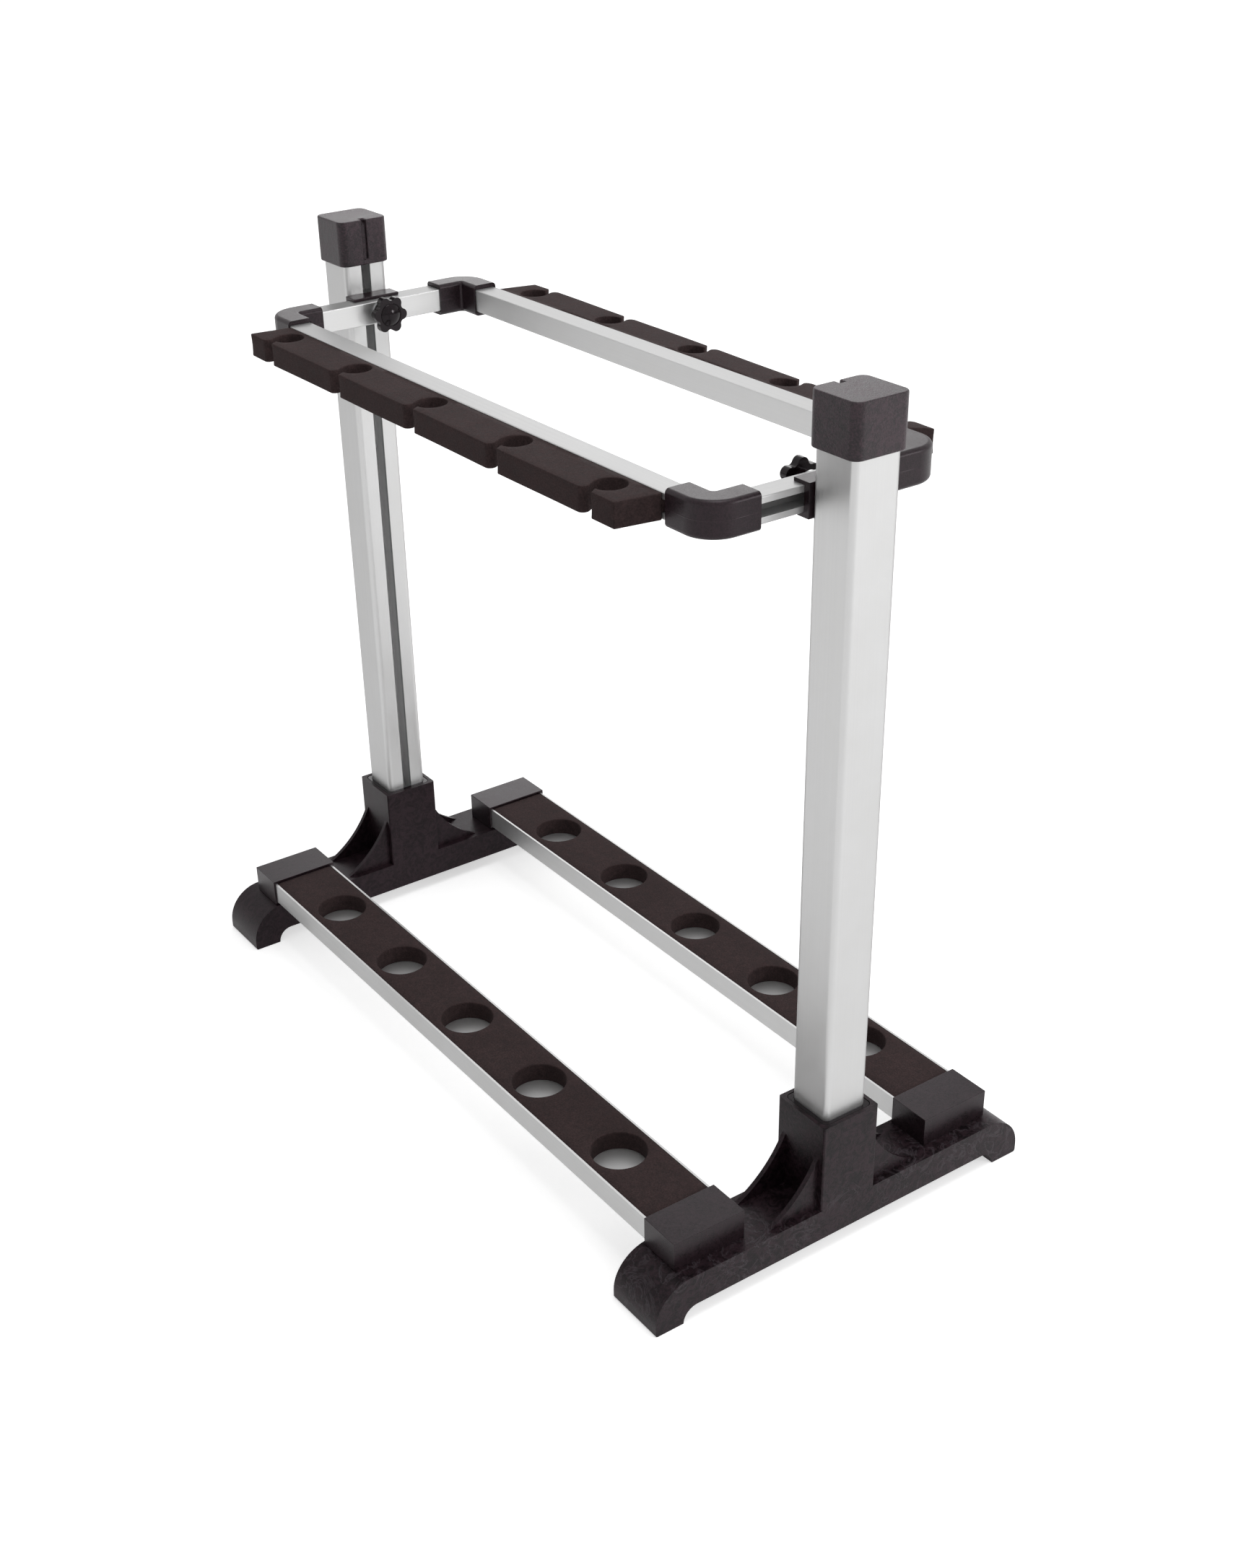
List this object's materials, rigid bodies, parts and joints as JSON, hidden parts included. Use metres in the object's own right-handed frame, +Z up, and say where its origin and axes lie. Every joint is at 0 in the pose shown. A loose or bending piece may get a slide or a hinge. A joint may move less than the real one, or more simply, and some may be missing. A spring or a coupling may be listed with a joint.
{
  "type": "rod rack",
  "caption": "Standing fishing-rod rack: feet and low rails with foam cups, slotted aluminium posts, and a height-adjustable upper frame with foam hooks.",
  "frame": {"origin": "on the ground, at the middle of the rack", "axes": "+X along the rack towards the near post, +Y across it from the front rail to the rear rail, +Z up"},
  "size_m": [0.5398, 0.2794, 0.508],
  "materials": {
    "black_plastic": "satin",
    "glossy_black_plastic": "gloss",
    "aluminium": "satin",
    "foam": "matte",
    "steel": "satin"
  },
  "bodies": {
    "base": {"near_foot": "black_plastic", "far_foot": "black_plastic", "near_post_sleeve": "glossy_black_plastic", "far_post_sleeve": "glossy_black_plastic", "near_post": "aluminium", "far_post": "aluminium", "near_post_cap": "black_plastic", "far_post_cap": "black_plastic", "near_post_screw": "steel", "far_post_screw": "steel", "front_rail": "aluminium", "rear_rail": "aluminium", "front_cup_foam": "foam", "rear_cup_foam": "foam", "near_front_rail_cap": "black_plastic", "near_rear_rail_cap": "black_plastic", "far_front_rail_cap": "black_plastic", "far_rear_rail_cap": "black_plastic", "near_rail_screws": "steel", "far_rail_screws": "steel"},
    "upper_frame": {"front_bar": "aluminium", "rear_bar": "aluminium", "near_end_bar": "aluminium", "far_end_bar": "aluminium", "near_front_elbow": "black_plastic", "near_rear_elbow": "black_plastic", "far_front_elbow": "black_plastic", "far_rear_elbow": "black_plastic", "front_hook_foam": "foam", "rear_hook_foam": "foam", "near_saddle": "black_plastic", "far_saddle": "black_plastic", "near_slot_nut": "steel", "far_slot_nut": "steel"},
    "near_washer_body": {"near_washer": "steel"},
    "near_knob_body": {"near_knob": "glossy_black_plastic", "near_clamp_stud": "steel"},
    "far_washer_body": {"far_washer": "steel"},
    "far_knob_body": {"far_knob": "glossy_black_plastic", "far_clamp_stud": "steel"}
  },
  "joints": [
    {"name": "upper_frame_slide", "type": "slide", "parent": "base", "child": "upper_frame", "axis": [0, 0, 1], "range_m": [-0.35, 0.018]},
    {"name": "near_knob_travel", "type": "slide", "parent": "upper_frame", "child": "near_washer_body", "axis": [-1, 0, 0], "range_m": [0, 0.0015]},
    {"name": "near_knob_turn", "type": "hinge", "parent": "near_washer_body", "child": "near_knob_body", "pos_m": [0.2084, 0, 0.45185], "axis": [-1, 0, 0], "range_deg": [0, 540]},
    {"name": "far_knob_travel", "type": "slide", "parent": "upper_frame", "child": "far_washer_body", "axis": [1, 0, 0], "range_m": [0, 0.0015]},
    {"name": "far_knob_turn", "type": "hinge", "parent": "far_washer_body", "child": "far_knob_body", "pos_m": [-0.2084, 0, 0.45185], "axis": [1, 0, 0], "range_deg": [0, 540]}
  ],
  "couplings": [
    {"joint": "near_knob_travel", "follows": "near_knob_turn", "m_per_rad": 0.00015915},
    {"joint": "far_knob_travel", "follows": "far_knob_turn", "m_per_rad": 0.00015915}
  ]
}
